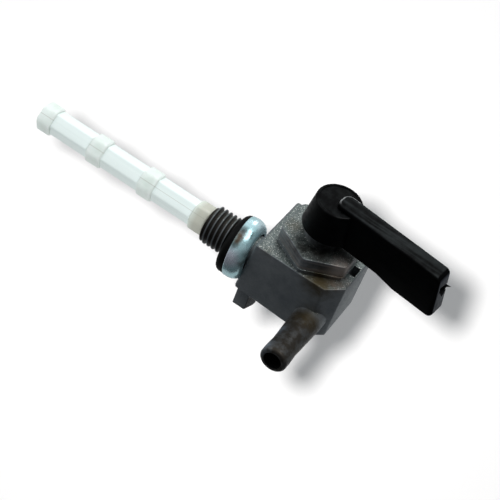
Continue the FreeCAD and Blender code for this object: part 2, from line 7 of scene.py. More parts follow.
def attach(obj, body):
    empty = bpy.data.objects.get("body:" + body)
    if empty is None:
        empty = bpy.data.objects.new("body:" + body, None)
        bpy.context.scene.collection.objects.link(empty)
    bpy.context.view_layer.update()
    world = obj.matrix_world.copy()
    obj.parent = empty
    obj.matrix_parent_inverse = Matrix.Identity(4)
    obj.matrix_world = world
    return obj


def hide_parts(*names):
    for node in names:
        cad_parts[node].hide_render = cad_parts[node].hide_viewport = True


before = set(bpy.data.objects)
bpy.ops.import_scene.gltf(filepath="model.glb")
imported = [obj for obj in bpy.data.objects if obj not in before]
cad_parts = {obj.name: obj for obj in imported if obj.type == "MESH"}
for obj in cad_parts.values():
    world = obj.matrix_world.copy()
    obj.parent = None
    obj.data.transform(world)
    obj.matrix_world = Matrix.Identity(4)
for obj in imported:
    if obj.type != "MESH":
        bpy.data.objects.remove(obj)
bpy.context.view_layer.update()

mm = 0.001

# Sizes are in millimetres from the object's origin, on the thread's axis in the seal's face that the
# tank's wall comes down on: Z up the thread, X out of the hose outlet, Y out of the lever side.

past = 1  # how far a cutter reaches past what it cuts
hair = 0.01  # the slack with which an edge is found by its place


def deselectAll():
    bpy.ops.object.select_all(action="DESELECT")


def takeUp(piece):
    # this piece alone is selected and active
    deselectAll()
    piece.select_set(True)
    bpy.context.view_layer.objects.active = piece


def editOn(piece):
    takeUp(piece)
    bpy.ops.object.mode_set(mode="EDIT")


def editOff():
    bpy.ops.object.mode_set(mode="OBJECT")


def selectMesh():
    bpy.ops.mesh.select_all(action="SELECT")


def pick(piece, kind, test):
    # faces, edges or points of the mesh in edit mode are selected by a test
    bpy.ops.mesh.select_mode(type=kind)
    bpy.ops.mesh.select_all(action="DESELECT")
    mesh = bmesh.from_edit_mesh(piece.data)
    for item in {"FACE": mesh.faces, "EDGE": mesh.edges, "VERT": mesh.verts}[kind]:
        if test(item):
            item.select_set(True)
    mesh.select_flush_mode()
    bmesh.update_edit_mesh(piece.data)


def middle(item):
    return sum((point.co for point in item.verts), Vector()) / len(item.verts) / mm


def rise(edge, axis):
    # how far an edge goes along an axis
    return abs(edge.verts[0].co[axis] - edge.verts[1].co[axis]) / mm


def convex(least=20):
    # finds the edges that stand out by at least this many degrees
    return lambda edge: edge.is_manifold and edge.is_convex and edge.calc_face_angle(0) > math.radians(least)


def shift(x, y, z):
    return Matrix.Translation(Vector((x, y, z)) * mm)


def settle(piece, matrix=None):
    # the place of an object goes into its mesh
    takeUp(piece)
    if matrix:
        piece.matrix_world = matrix
    bpy.ops.object.transform_apply(location=True, rotation=True, scale=True)


def applyAll(piece):
    takeUp(piece)
    for modifier in list(piece.modifiers):
        bpy.ops.object.modifier_apply(modifier=modifier.name)


def copied(piece, name):
    # a copy with a mesh of its own
    twin = piece.copy()
    twin.data = piece.data.copy()
    twin.name = name
    bpy.context.collection.objects.link(twin)
    return twin


def box(name, low, high):
    deselectAll()
    size = [(b - a) * mm for a, b in zip(low, high)]
    centre = [(a + b) / 2 * mm for a, b in zip(low, high)]
    bpy.ops.mesh.primitive_cube_add(size=1, location=centre, scale=size)
    piece = bpy.context.object
    piece.name = name
    settle(piece)
    return piece


def trim(piece, point, normal):
    # cuts off what lies beyond a plane and closes the cut
    editOn(piece)
    selectMesh()
    bpy.ops.mesh.bisect(plane_co=Vector(point) * mm, plane_no=normal, use_fill=True, clear_outer=True,
                        threshold=1e-7)
    editOff()


def bevel(piece, width, segments, test):
    editOn(piece)
    pick(piece, "EDGE", test)
    bpy.ops.mesh.bevel(offset=width * mm, offset_type="OFFSET", segments=segments, affect="EDGES",
                       clamp_overlap=True)
    editOff()


def rounded(points, radii, steps=5):
    # an outline with some of its corners rounded
    result = []
    count = len(points)
    for number, corner in enumerate(points):
        radius = radii.get(number, 0)
        here = Vector(corner)
        if radius == 0:
            result.append(here)
            continue
        before = (Vector(points[number - 1]) - here).normalized()
        after = (Vector(points[(number + 1) % count]) - here).normalized()
        half = before.angle(after) / 2
        centre = here + (before + after).normalized() * radius / math.sin(half)
        start = here + before * radius / math.tan(half) - centre
        end = here + after * radius / math.tan(half) - centre
        for step in range(steps + 1):
            result.append(centre + start.lerp(end, step / steps).normalized() * radius)
    return result


def outline(name, points, closed=True):
    # a plane is merged to one point, and that point is extruded from corner to corner
    deselectAll()
    bpy.ops.mesh.primitive_plane_add(size=mm)
    piece = bpy.context.object
    piece.name = name
    bpy.ops.object.mode_set(mode="EDIT")
    bpy.ops.mesh.select_mode(type="VERT")
    selectMesh()
    bpy.ops.mesh.merge(type="CENTER")
    places = [Vector((across, 0, up)) * mm for across, up in points]
    bpy.ops.transform.translate(value=places[0])
    last = places[0]
    for stop in places[1:] + places[:1] if closed else places[1:]:
        bpy.ops.mesh.extrude_vertices_move(TRANSFORM_OT_translate={"value": stop - last})
        last = stop
    if closed:
        selectMesh()
        bpy.ops.mesh.remove_doubles(threshold=1e-7)
    editOff()
    return piece


axisTurns = {"X": Matrix.Rotation(math.radians(90), 4, "Y"),
             "Y": Matrix.Rotation(math.radians(-90), 4, "X"),
             "Z": Matrix()}


def turned(name, profile, centre=(0, 0, 0), axis="Z", steps=96, closed=True):
    # an outline of radius and height spun round an axis
    piece = outline(name, profile, closed)
    editOn(piece)
    selectMesh()
    bpy.ops.mesh.spin(steps=steps, angle=2 * math.pi, center=(0, 0, 0), axis=(0, 0, 1))
    selectMesh()
    bpy.ops.mesh.remove_doubles(threshold=1e-6)
    bpy.ops.mesh.dissolve_degenerate(threshold=1e-7)
    bpy.ops.mesh.normals_make_consistent(inside=False)
    editOff()
    settle(piece, shift(*centre) @ axisTurns[axis])
    return piece


def rod(name, radius, low, high, centre=(0, 0, 0), axis="Z", steps=48, edge=0):
    # a plain round bar, made as a turned outline that meets the axis at both ends
    profile = rounded([(0, low), (radius, low), (radius, high), (0, high)], {1: edge, 2: edge})
    return turned(name, profile, centre, axis, steps, closed=False)


def boolean(base, tool, operation):
    modifier = base.modifiers.new("join", "BOOLEAN")
    modifier.solver = "EXACT"
    modifier.operation = operation
    modifier.object = tool
    applyAll(base)
    bpy.data.objects.remove(tool)


def unite(base, *tools):
    for tool in tools:
        boolean(base, tool, "UNION")


def carve(base, *tools):
    for tool in tools:
        boolean(base, tool, "DIFFERENCE")


def merge(piece, distance=0.0005):
    editOn(piece)
    selectMesh()
    bpy.ops.mesh.remove_doubles(threshold=distance * mm)
    editOff()


def finishPiece(piece, material, body, nodes, angle=30):
    takeUp(piece)
    bpy.ops.object.shade_smooth_by_angle(angle=math.radians(angle))
    piece.data.materials.clear()
    piece.data.materials.append(material)
    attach(piece, body)
    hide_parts(*nodes)


def fill(tree, node, levels):
    # sets a node's sockets to plain values, or links them to the sockets of other nodes
    for label, level in levels.items():
        if isinstance(level, bpy.types.NodeSocket):
            tree.links.new(level, node.inputs[label])
        else:
            node.inputs[label].default_value = level


def addNode(tree, kind, levels, **settings):
    node = tree.nodes.new(f"ShaderNode{kind}")
    for label, setting in settings.items():
        setattr(node, label, setting)
    fill(tree, node, levels)
    return node


# effects that several materials share

def newGroup(name, inputs, outputs=("Mask",)):
    # a node group that takes a place and named levels, and puts out masks or heights
    group = bpy.data.node_groups.new(name, "ShaderNodeTree")
    for label, start in {"Place": None, **inputs}.items():
        kind = "NodeSocketFloat" if isinstance(start, float) else "NodeSocketVector"
        socket = group.interface.new_socket(label, in_out="INPUT", socket_type=kind)
        if start is not None:
            socket.default_value = start
    for label in outputs:
        group.interface.new_socket(label, in_out="OUTPUT", socket_type="NodeSocketFloat")
    return group, group.nodes.new("NodeGroupInput").outputs, group.nodes.new("NodeGroupOutput")


def makeMottling():
    # cloudy patches, 0 to 1
    group, given, result = newGroup("mottling", {"Scale": 300.0, "Low": 0.4, "High": 0.6})
    cloud = addNode(group, "TexNoise", {"Vector": given["Place"], "Scale": given["Scale"], "Detail": 5,
                                        "Roughness": 0.62})
    spread = addNode(group, "MapRange", {"Value": cloud.outputs["Fac"], "From Min": given["Low"],
                                         "From Max": given["High"]})
    fill(group, result, {"Mask": spread.outputs["Result"]})
    return group


def makePitting():
    # small round pits or specks, as a mask and as a height
    group, given, result = newGroup("pitting", {"Scale": 900.0, "Size": 0.25}, ("Mask", "Height"))
    cells = addNode(group, "TexVoronoi", {"Vector": given["Place"], "Scale": given["Scale"], "Randomness": 1})
    dot = addNode(group, "MapRange", {"Value": cells.outputs["Distance"], "From Min": 0,
                                      "From Max": given["Size"], "To Min": 1, "To Max": 0},
                  interpolation_type="SMOOTHSTEP")
    flip = addNode(group, "Math", {0: 1, 1: dot.outputs["Result"]}, operation="SUBTRACT")
    fill(group, result, {"Mask": dot.outputs["Result"], "Height": flip.outputs[0]})
    return group


def makeStreaks():
    # long fine streaks along one direction, set by the stretch
    group, given, result = newGroup("streaks", {"Stretch": (1.0, 1.0, 1.0), "Scale": 400.0, "Low": 0.35,
                                                "High": 0.65})
    squeeze = addNode(group, "VectorMath", {0: given["Place"], 1: given["Stretch"]}, operation="MULTIPLY")
    grain = addNode(group, "TexNoise", {"Vector": squeeze.outputs["Vector"], "Scale": given["Scale"],
                                        "Detail": 4})
    spread = addNode(group, "MapRange", {"Value": grain.outputs["Fac"], "From Min": given["Low"],
                                         "From Max": given["High"]})
    fill(group, result, {"Mask": spread.outputs["Result"]})
    return group


def makeSpot():
    # a soft round patch about one place, broken up at its rim
    group, given, result = newGroup("spot", {"Centre": (0.0, 0.0, 0.0), "Radius": 0.004, "Fray": 0.004})
    away = addNode(group, "VectorMath", {0: given["Place"], 1: given["Centre"]}, operation="DISTANCE")
    ragged = addNode(group, "TexNoise", {"Vector": given["Place"], "Scale": 700, "Detail": 4})
    rim = addNode(group, "Math", {0: ragged.outputs["Fac"], 1: given["Fray"], 2: away.outputs["Value"]},
                  operation="MULTIPLY_ADD")
    wide = addNode(group, "Math", {0: given["Fray"], 1: 0.5, 2: given["Radius"]}, operation="MULTIPLY_ADD")
    heart = addNode(group, "Math", {0: given["Radius"], 1: 0.35}, operation="MULTIPLY")
    fade = addNode(group, "MapRange", {"Value": rim.outputs[0], "From Min": heart.outputs[0],
                                       "From Max": wide.outputs[0], "To Min": 1, "To Max": 0},
                   interpolation_type="SMOOTHSTEP")
    fill(group, result, {"Mask": fade.outputs["Result"]})
    return group


mottling = makeMottling()
pitting = makePitting()
streaks = makeStreaks()
spot = makeSpot()
print("shared effects")


class Finish:
    # one material, with short calls for the nodes that it is built from
    def __init__(self, name, roughness, metallic=0.0, **shader):
        self.material = bpy.data.materials.new(name)
        self.material.use_nodes = True
        self.tree = self.material.node_tree
        self.shader = self.tree.nodes["Principled BSDF"]
        fill(self.tree, self.shader, {"Roughness": roughness, "Metallic": metallic, **shader})
        given = self.tree.nodes.new("ShaderNodeTexCoord")
        self.where = given.outputs["Object"]
        self.normal = given.outputs["Normal"]

    def add(self, kind, levels, **settings):
        return addNode(self.tree, kind, levels, **settings).outputs

    def effect(self, group, output="Mask", **levels):
        return self.add("Group", {"Place": self.where, **levels}, node_tree=group)[output]

    def mix(self, mask, first, second):
        # first where the mask is 0, second where it is 1; each is a colour or another node's colour
        colours = [item if isinstance(item, bpy.types.NodeSocket) else (*item, 1) for item in (first, second)]
        return self.add("Mix", {"Factor": mask, 6: colours[0], 7: colours[1]}, data_type="RGBA")[2]

    def calc(self, operation, *items):
        return self.add("Math", dict(enumerate(items)), operation=operation)[0]

    def times(self, *items):
        # masks and amounts, each multiplied by the next
        product = items[0]
        for item in items[1:]:
            product = self.calc("MULTIPLY", product, item)
        return product

    def split(self, item):
        return self.add("SeparateXYZ", {0: item})

    def reach(self, first, second):
        # how far a place is from an axis, from its two coordinates across that axis
        return self.calc("SQRT", self.calc("ADD", self.times(first, first), self.times(second, second)))

    def remap(self, item, fromLow, fromHigh, toLow, toHigh):
        return self.add("MapRange", {"Value": item, "From Min": fromLow, "From Max": fromHigh,
                                     "To Min": toLow, "To Max": toHigh})[0]

    def fade(self, item, start, end):
        # 0 up to the start and 1 from the end on, also where the start is the higher of the two
        return self.remap(item, start, end, 0, 1)

    def zone(self, item, start, end):
        # the same along a coordinate, in millimetres
        return self.fade(item, start * mm, end * mm)

    def patches(self, tone, look, spots, fray=4.0):
        # soft patches over a colour, each with its centre, radius, colour and amount
        for centre, radius, label, amount in spots:
            patch = self.effect(spot, Centre=[mm * item for item in centre], Radius=radius * mm,
                                Fray=fray * mm)
            tone = self.mix(self.times(patch, amount), tone, look[label])
        return tone

    def colour(self, item):
        fill(self.tree, self.shader, {"Base Color": item})

    def rough(self, mask, low, high):
        fill(self.tree, self.shader, {"Roughness": self.remap(mask, 0, 1, low, high)})

    def bump(self, height, strength, depth):
        node = addNode(self.tree, "Bump", {"Strength": strength, "Distance": depth * mm, "Height": height})
        normal = self.shader.inputs["Normal"]
        if normal.is_linked:
            self.tree.links.new(normal.links[0].from_socket, node.inputs["Normal"])
        self.tree.links.new(node.outputs["Normal"], normal)


# the cast body

barb = {"y": -4.8, "z": -30.7, "root": 4.5, "waist": 3.9, "waistAt": 19.2, "bead": 4.1, "beadAt": 22.9,
        "end": 25.9, "beadRound": 0.8, "rim": 0.9, "bore": 2.7, "boreDepth": 18.0, "passage": 1.8,
        "passageFrom": -7.55}
castLook = {"dark": (0.115, 0.129, 0.142), "light": (0.195, 0.208, 0.216), "floorDarkLit": (0.060, 0.076, 0.074),
            "floorPaleLit": (0.18, 0.208, 0.20), "speckGlint": (1.0, 1.0, 0.95), "stain": (0.045, 0.031, 0.008),
            "oilAndHubShade": (0.004, 0.0036, 0.0025), "wornAndLit": (0.34, 0.275, 0.24), "outlet": (0.026, 0.022, 0.017),
            "coolHighlight": (0.20, 0.24, 0.29), "groove": (0.016, 0.011, 0.006), "shadeBlack": (0.002, 0.002, 0.002)}
# where each effect starts and where it is full, in millimetres or, for a face, as a part of its normal
castZones = {"leverFace": (0.80, 0.97), "blockX": (6.9, 6.6), "outletX": (6.8, 9.0), "wallFace": (0.3, 0.1),
             "wallFoot": (10.8, 11.2), "wallTop": (15.1, 15.0), "lugFace": (-0.4, -0.7),
             "lugY": (-10.0, -11.0), "lugZ": (-20.0, -18.0), "stubZ": (-0.5, 0.5), "groove": (5.97, 5.75),
             "bore": (2.8, 2.72), "boreX": (8.0, 9.0)}
# stains on the cast, together with patches of painted shade and painted highlight
castStainsAndPaintedLight = [((4.6, 9.4, -29.2), 7.4, "stain", 0.95), ((2.2, 9.4, -31.6), 3.4, "stain", 0.7),
              # partly dirt, partly painted shade: the near-black patches on the platform's top round the hub's
              # foot stand for the shade under the lever's hub as well as oil
              ((1.2, 15.0, -25.5), 7.5, "oilAndHubShade", 0.97), ((-3.4, 15.0, -29.0), 6.5, "oilAndHubShade", 0.9),
              ((3.0, 15.0, -20.5), 5.5, "oilAndHubShade", 0.85), ((-2.6, 15.0, -14.6), 4.5, "stain", 0.5),
              ((1.4, 15.0, -17.0), 3.5, "oilAndHubShade", 0.6), ((8.6, -2.5, -31.5), 6.5, "stain", 0.75),
              # painted highlights: the two bluish patches on the outlet
              ((24.0, -3.3, -27.2), 3.4, "coolHighlight", 0.85), ((16.5, -3.3, -27.0), 3.6, "coolHighlight", 0.6),
              # partly the wall's own pink-brown tone, partly painted light: the pale patch on the platform's
              # right wall, on the next entry, lifts the lever's shadow there
              ((20.5, -5.5, -34.5), 5.0, "stain", 0.5), ((1.0, 13.0, -33.2), 6.0, "wornAndLit", 0.75),
              ((1.0, 10.8, -33.2), 3.0, "stain", 0.6), ((6.0, 9.4, -12.5), 3.0, "stain", 0.35)]


def makeCast():
    look, zones = castLook, castZones
    cast = Finish("castAlloy", 0.46, 0.7)
    x, y, z = cast.split(cast.where)
    facing = cast.split(cast.normal)
    cloud = cast.effect(mottling, Scale=180.0, Low=0.3, High=0.7)
    grain = cast.effect(mottling, Scale=1500.0, Low=0.35, High=0.65)
    side = cast.mix(cloud, look["dark"], look["light"])
    # partly painted light: faces turned up towards the lever and the lamps are painted paler than the sides,
    # and speckled with bright grains that stand in for glints
    floor = cast.mix(grain, look["floorDarkLit"], look["floorPaleLit"])
    speckGlint = cast.effect(pitting, Scale=2100.0, Size=0.34)
    floor = cast.mix(cast.times(speckGlint, 0.95), floor, look["speckGlint"])
    upFacingLitMask = cast.times(cast.fade(facing[1], *zones["leverFace"]), cast.zone(x, *zones["blockX"]))
    tone = cast.mix(upFacingLitMask, side, floor)
    # the outlet is brown and blotched
    blotch = cast.effect(mottling, Scale=420.0, Low=0.42, High=0.60)
    onOutlet = cast.times(cast.zone(x, *zones["outletX"]), cast.remap(blotch, 0, 1, 1.0, 0.72))
    tone = cast.mix(onOutlet, tone, look["outlet"])
    tone = cast.patches(tone, look, castStainsAndPaintedLight)
    # fine drawn lines along the platform's walls
    ridges = cast.effect(streaks, Stretch=(0.04, 1.0, 0.04), Scale=1300.0, Low=0.4, High=0.6)
    onWall = cast.times(cast.zone(y, *zones["wallFoot"]), cast.fade(facing[1], *zones["wallFace"]),
                        cast.zone(y, *zones["wallTop"]))
    tone = cast.mix(cast.times(ridges, onWall, 0.35), tone, look["wornAndLit"])
    # painted shade: the lug's far side is painted black
    away = cast.times(cast.fade(facing[2], *zones["lugFace"]), cast.zone(y, *zones["lugY"]),
                      cast.zone(z, *zones["lugZ"]))
    tone = cast.mix(away, tone, look["shadeBlack"])
    # the grooves of the thread are painted dark brown
    groove = cast.times(cast.zone(cast.reach(x, y), *zones["groove"]), cast.zone(z, *zones["stubZ"]))
    tone = cast.mix(cast.times(groove, 0.9), tone, look["groove"])
    # painted shade: the outlet's bore is painted black inside
    off = cast.reach(cast.calc("SUBTRACT", y, barb["y"] * mm), cast.calc("SUBTRACT", z, barb["z"] * mm))
    inside = cast.times(cast.zone(off, *zones["bore"]), cast.zone(x, *zones["boreX"]))
    cast.colour(cast.mix(inside, tone, look["shadeBlack"]))
    cast.rough(grain, low=0.38, high=0.6)
    cast.bump(cloud, strength=0.25, depth=0.12)
    cast.bump(grain, strength=0.4, depth=0.04)
    cast.bump(cast.effect(pitting, "Height", Scale=1100.0, Size=0.2), strength=0.3, depth=0.04)
    return cast.material


# the tooth goes from root to crest and back over one pitch, as radius and height
thread = {"radius": 6.0, "pitch": 1.5, "turns": 8, "low": -0.1, "high": 8.3, "runOut": 0.5, "chamfer": 0.6,
          "tooth": [(5.08, 0), (5.08, 0.30), (5.94, 0.72), (6.0, 0.80), (6.0, 0.93), (5.94, 1.01),
                    (5.08, 1.43), (5.08, 1.5)]}


def makeThread():
    size = thread
    low, high, chamfer = size["low"], size["high"], size["chamfer"]
    piece = outline("thread", size["tooth"], closed=False)
    screw = piece.modifiers.new("turns", "SCREW")
    screw.screw_offset = size["pitch"] * mm
    screw.iterations = size["turns"]
    screw.steps = screw.render_steps = 64
    screw.use_merge_vertices = True
    screw.merge_threshold = 1e-6
    applyAll(piece)
    merge(piece, 0.002)
    settle(piece, Matrix.Translation((0, 0, -2 * size["pitch"] * mm)))
    trim(piece, (0, 0, high + size["runOut"]), (0, 0, 1))
    trim(piece, (0, 0, low), (0, 0, -1))
    editOn(piece)
    selectMesh()
    bpy.ops.mesh.normals_make_consistent(inside=False)
    editOff()
    # a plain sleeve takes the crests down by a hair and chamfers the end
    crest = size["radius"] - hair
    sleeve = turned("sleeve", [(0, low - past), (crest, low - past), (crest, high - chamfer),
                               (size["radius"] - chamfer, high), (0, high)], closed=False)
    boolean(piece, sleeve, "INTERSECT")
    return piece


block = {"front": 6.6, "back": -17.4, "floor": 9.4, "bottom": -9.5, "bottomFar": -11.0, "near": -7.1,
         "lean": 0.09, "far": -36.2, "frontFacet": 4.6, "backFacet": 2.4, "edge": 0.35, "nearEdge": 0.8,
         "nearBand": 2.5, "sideFrom": 4}


def makeBlock():
    size = block
    near, far, bottom = size["near"], size["far"], size["bottom"]
    piece = box("castBlock", (size["back"], size["bottomFar"], far), (size["front"], size["floor"], near))
    slope = (size["bottomFar"] - bottom) / (near - far)
    trim(piece, (0, bottom, near), (0, -1, -slope))
    trim(piece, (size["front"] - size["frontFacet"], 0, far), (1, 0, -1))
    trim(piece, (size["back"] + size["backFacet"], 0, far), (-1, 0, -1))
    trim(piece, (0, bottom, near), (0, size["lean"], 1))
    bevel(piece, size["nearEdge"], 4,
          lambda edge: all(point.co.z > (near - size["nearBand"]) * mm for point in edge.verts))
    bevel(piece, size["edge"], 3, lambda edge: convex()(edge) and middle(edge).z < near - size["sideFrom"])
    return piece


platform = {"x": -5.9, "z": -22.7, "flats": 21.7, "top": 15.0, "lipTop": 10.95, "lipLow": 10.65, "foot": 9.0,
            "lip": 0.2, "lipEdge": 0.08, "groove": 0.16, "corner": 0.9, "edge": 0.3, "back": -17.3,
            "overlap": 0.1, "frontGap": 0.05}


def hexagon(name, flats, low, high, corner):
    deselectAll()
    bpy.ops.mesh.primitive_cylinder_add(vertices=6, radius=flats / 2 / math.cos(math.radians(30)) * mm,
                                        depth=(high - low) * mm)
    piece = bpy.context.object
    piece.name = name
    settle(piece, Matrix.Rotation(math.radians(30), 4, "Z"))
    settle(piece, shift(platform["x"], (low + high) / 2, platform["z"]) @ axisTurns["Y"])
    bevel(piece, corner, 3, lambda edge: rise(edge, 1) > 0.1)
    return piece


def makePlatform():
    size = platform
    flats, corner, overlap = size["flats"], size["corner"], size["overlap"]
    foot = hexagon("foot", flats - 2 * size["groove"], size["foot"], size["lipLow"] + overlap, corner)
    lip = hexagon("lip", flats + 2 * size["lip"], size["lipLow"], size["lipTop"], corner)
    bevel(lip, size["lipEdge"], 2, lambda edge: convex()(edge) and rise(edge, 1) < 0.001)
    wall = hexagon("platform", flats, size["lipTop"] - overlap, size["top"], corner)
    bevel(wall, size["edge"], 3, lambda edge: convex()(edge) and middle(edge).y > size["top"] - hair)
    unite(wall, lip, foot)
    trim(wall, (size["back"], 0, 0), (-1, 0, 0))
    trim(wall, (block["front"] - size["frontGap"], 0, 0), (1, 0, 0))
    return wall


neck = {"radius": 6.0, "foot": 9.0, "top": 20.4, "edge": 0.35}
stub = {"relief": 5.1, "foot": -8.5, "bore": 4.0, "floor": -10.9}
lug = {"low": (2.2, -15.9, -12.5), "high": (6.54, -5.0, -8.4), "flare": -1.4, "flareX": 3, "flareZ": -12,
       "round": 1.3, "edge": 0.3}
pocket = {"low": (-7.9, 2.4, -35.75), "high": (-3.9, 12.0, -33.55)}
rotorSeat = {"radius": 4.8, "foot": -4.0, "sump": 3.5, "sumpFoot": -7.3}


def makeLug():
    # one corner of a box is drawn out, and its lower back edge is rounded
    size = lug
    low = size["low"]
    piece = box("lug", low, size["high"])
    editOn(piece)
    pick(piece, "VERT", lambda point: point.co.x < size["flareX"] * mm and point.co.z < size["flareZ"] * mm)
    bpy.ops.transform.translate(value=(0, 0, size["flare"] * mm))
    editOff()
    bevel(piece, size["round"], 6,
          lambda edge: middle(edge).y < low[1] + hair and middle(edge).x < low[0] + hair)
    bevel(piece, size["edge"], 2, convex())
    return piece


def makeOutlet():
    size = barb
    root, bead, end = size["root"], size["bead"], size["end"]
    profile = rounded([(0, 0), (root, 0), (root, block["front"]), (size["waist"], size["waistAt"]),
                       (bead, size["beadAt"]), (bead, end), (0, end)],
                      {4: size["beadRound"], 5: size["rim"]})
    return turned("outlet", profile, (0, size["y"], size["z"]), "X", 72, closed=False)


def makeBody():
    hub = (platform["x"], 0, platform["z"])
    body = makeBlock()
    deck = makePlatform()
    collar = rod("neck", neck["radius"], neck["foot"], neck["top"], hub, "Y", 72, neck["edge"])
    shank = rod("shank", stub["relief"], stub["foot"], 0.0, steps=64)
    foot = makeLug()
    outlet = makeOutlet()
    unite(body, deck, collar, shank, makeThread(), foot, outlet)
    outletAt = (0, barb["y"], barb["z"])
    boreEnd = barb["end"] - barb["boreDepth"]
    seatFoot = rotorSeat["foot"]
    carve(body,
          rod("outletBore", barb["bore"], boreEnd, barb["end"] + past, outletAt, "X"),
          rod("passage", barb["passage"], barb["passageFrom"], boreEnd + past, outletAt, "X"),
          rod("stubBore", stub["bore"], stub["floor"], thread["high"] + past),
          rod("seat", rotorSeat["radius"], seatFoot, neck["top"] + past, hub, "Y"),
          rod("sump", rotorSeat["sump"], rotorSeat["sumpFoot"], seatFoot + past, hub, "Y"),
          box("pocket", pocket["low"], pocket["high"]))
    merge(body)
    return body


castAlloy = makeCast()
tapBody = makeBody()
tapBody.name = "castBody"
finishPiece(tapBody, castAlloy, "body", ["tap_body"])
print("cast body", len(tapBody.data.polygons))

# the plated washer

plateLook = {"teal": (0.52, 0.84, 0.88), "pale": (0.80, 0.94, 1.0), "lilacReflection": (0.86, 0.86, 0.98),
             "brownReflection": (0.10, 0.05, 0.015), "duskReflection": (0.10, 0.125, 0.12), "darkReflection": (0.02, 0.018, 0.014)}
# painted reflections: patches of lilac, dark green, near-black, brown and pale on the cup stand for what its
# plating mirrors
platePaintedReflections = [((9.4, 2.1, -3.6), 4.5, "lilacReflection", 0.85), ((8.2, 1.4, -7.5), 2.2, "duskReflection", 0.8),
                ((7.2, 4.2, -7.5), 2.0, "duskReflection", 0.6), ((3.6, 8.6, -2.9), 2.6, "darkReflection", 0.9),
                ((5.1, 7.7, -3.1), 2.4, "brownReflection", 0.9), ((6.6, 6.6, -3.2), 2.4, "brownReflection", 0.95),
                ((7.4, 5.6, -3.0), 2.0, "darkReflection", 0.7), ((-3.2, 8.8, -6.4), 4.0, "pale", 0.7)]


def makePlated():
    look = plateLook
    plated = Finish("zincPlate", 0.24, 0.75)
    cloud = plated.effect(mottling, Scale=240.0, Low=0.3, High=0.7)
    tone = plated.mix(plated.times(cloud, 0.6), look["teal"], look["pale"])
    # the plating's mottled teal, with the painted reflections laid over it
    plated.colour(plated.patches(tone, look, platePaintedReflections, fray=1.5))
    plated.rough(cloud, low=0.17, high=0.32)
    plated.bump(plated.effect(mottling, Scale=420.0), strength=0.35, depth=0.06)
    return plated.material


washer = {"bore": 6.2, "corner": 7.9, "cone": -5.9, "radius": 9.45, "low": -7.9, "high": -2.9, "wall": 0.9,
          "gap": 0.1, "rounds": {1: 2.0, 2: 4.0, 3: 0.35, 4: 0.3, 5: 0.4, 6: 0.3}, "lean": 4.5,
          "leanAxis": (0.69, 0.72, 0), "lift": 0.6, "shift": (0.32, -0.31)}


def leanTurn():
    # the cup sits a little askew: its side under the lever is lifted towards the tank
    pivot = Matrix.Translation((0, 0, washer["low"] * mm))
    turn = Matrix.Rotation(math.radians(washer["lean"]), 4, Vector(washer["leanAxis"]))
    return shift(*washer["shift"], washer["lift"]) @ pivot @ turn @ pivot.inverted()


def makeWasher():
    size = washer
    wall, low, high = size["wall"], size["low"], size["high"]
    bore, corner, radius, flare = size["bore"], size["corner"], size["radius"], size["cone"]
    profile = rounded([(bore, low), (corner, low), (radius, flare), (radius, high), (radius - wall, high),
                       (radius - wall, flare + wall / 2), (corner - wall / 2, low + wall), (bore, low + wall)],
                      size["rounds"], 10)
    piece = turned("cupWasher", profile)
    settle(piece, leanTurn())
    return piece


cupWasher = makeWasher()
finishPiece(cupWasher, makePlated(), "body", ["seal_cup_washer"], 40)

# the rubber seal

rubberLook = {"black": (0.0012, 0.0012, 0.0012), "dust": (0.006, 0.006, 0.0055)}


def makeRubber():
    rubber = Finish("blackRubber", 0.6, **{"Specular IOR Level": 0.08})
    dust = rubber.effect(mottling, Scale=500.0, Low=0.45, High=0.8)
    rubber.colour(rubber.mix(rubber.times(dust, 0.3), rubberLook["black"], rubberLook["dust"]))
    rubber.rough(dust, low=0.5, high=0.75)
    rubber.bump(rubber.effect(mottling, Scale=2500.0), strength=0.2, depth=0.02)
    return rubber.material


seal = {"bore": 6.1, "ring": 9.2, "low": -3.0, "high": -0.05, "rounds": {1: 0.3, 2: 1.5, 3: 0.3},
        "shift": (0.58, -0.56), "ringGap": 0.2, "bossCorner": 0.55, "bossCone": 0.5}


def makeSeal():
    # the boss leans with the cup, and the ring lies flat for the tank's wall
    size = seal
    bore, low, high = size["bore"], size["low"], size["high"]
    inner = washer["wall"] + washer["gap"]
    bossLow, bossRadius = washer["low"] + inner, washer["radius"] - inner
    boss = turned("tankSeal", [(bore, bossLow), (washer["corner"] - size["bossCorner"], bossLow),
                               (bossRadius, washer["cone"] + size["bossCone"]), (bossRadius, low), (bore, low)])
    settle(boss, leanTurn())
    ringBore = bore + size["ringGap"]
    ring = turned("sealRing", rounded([(ringBore, low), (size["ring"], low), (size["ring"], high),
                                       (ringBore, high)], size["rounds"]))
    settle(ring, shift(*size["shift"], 0))
    unite(boss, ring)
    carve(boss, copied(cupWasher, "cup"))
    merge(boss)
    return boss


blackRubber = makeRubber()
tankSeal = makeSeal()
finishPiece(tankSeal, blackRubber, "body", ["tank_seal_ring"], 40)
print("washer and seal")

# the strainer

strainer = {"turn": 16.2, "base": 8.3, "pitch": 18.5, "collar": 5.3, "collarRadius": 4.92, "corner": 0.9,
            "tip": 4.8, "tipWall": 1.2, "shoulder": 0.75, "sleeve": 4.05, "sleeveCorner": 0.35, "wall": 0.25,
            "rib": 0.96, "spigot": 3.96, "spigotLow": 1.3, "spigotRound": 0.4, "spigotOverlap": 0.5,
            "bore": 2.9}
# light that goes into the pale nylon comes out again some way off
translucent = {"Subsurface Weight": 0.8, "Subsurface Radius": (1.0, 1.0, 1.0), "Subsurface Scale": 0.003}
nylonLook = {"milk": (0.72, 0.82, 0.755), "pale": (0.82, 0.92, 0.86), "base": (0.50, 0.505, 0.435),
             "line": (0.34, 0.35, 0.28), "lineWidth": (0.028, 0.012), "lineZ": (8, 69), "baseZ": (15.0, 11.5)}


